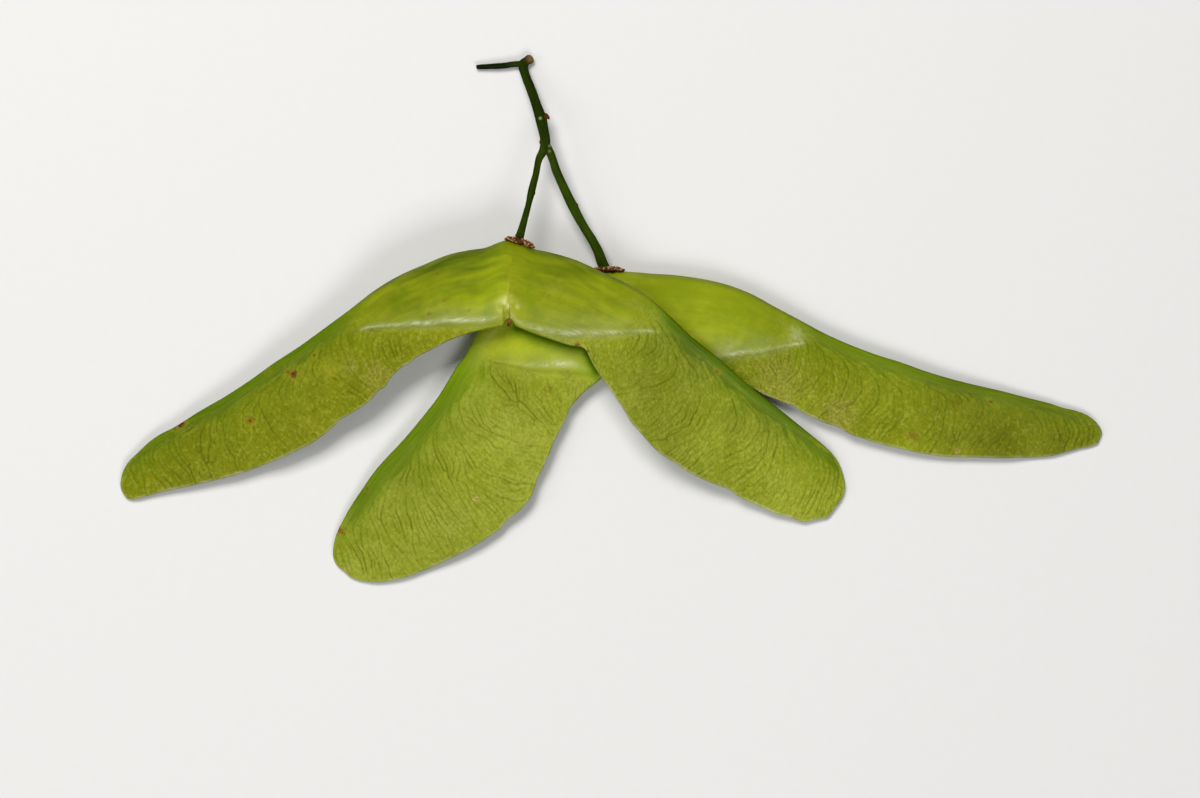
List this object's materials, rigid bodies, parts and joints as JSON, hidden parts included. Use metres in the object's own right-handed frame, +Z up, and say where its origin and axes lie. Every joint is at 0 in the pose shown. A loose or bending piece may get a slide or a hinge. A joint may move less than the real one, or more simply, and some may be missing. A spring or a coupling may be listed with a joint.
{
  "type": "maple samara",
  "caption": "Green maple fruit cluster lying flat: winged double samaras, one pair across the other, on a forked stalk",
  "frame": {"origin": "centre of the bottom of the bounding box, on the surface the cluster lies on", "axes": "+X along the longest extent, towards the tip of the longest right-hand wing; +Y towards the stalk's cut end; +Z up from the surface"},
  "size_m": [0.0932, 0.0501, 0.0062],
  "materials": {
    "samara_front": "fresh yellow-green skin, satin, with fine darker veins in the wing",
    "samara_back": "fresh yellow-green skin, satin, with fine darker veins in the wing",
    "stalk": "smooth green stem skin, satin, with a pale dry cut end",
    "dry_calyx": "crumbly dry reddish-brown remains, matt",
    "dry_style": "dry orange-brown stub, matt"
  },
  "bodies": {
    "root": {"samara_front_left": "samara_front", "samara_front_right": "samara_front", "samara_back_left": "samara_back", "samara_back_right": "samara_back", "stalk": "stalk", "calyx_front": "dry_calyx", "calyx_back": "dry_calyx", "style_front": "dry_style", "style_back": "dry_style"}
  },
  "joints": []
}
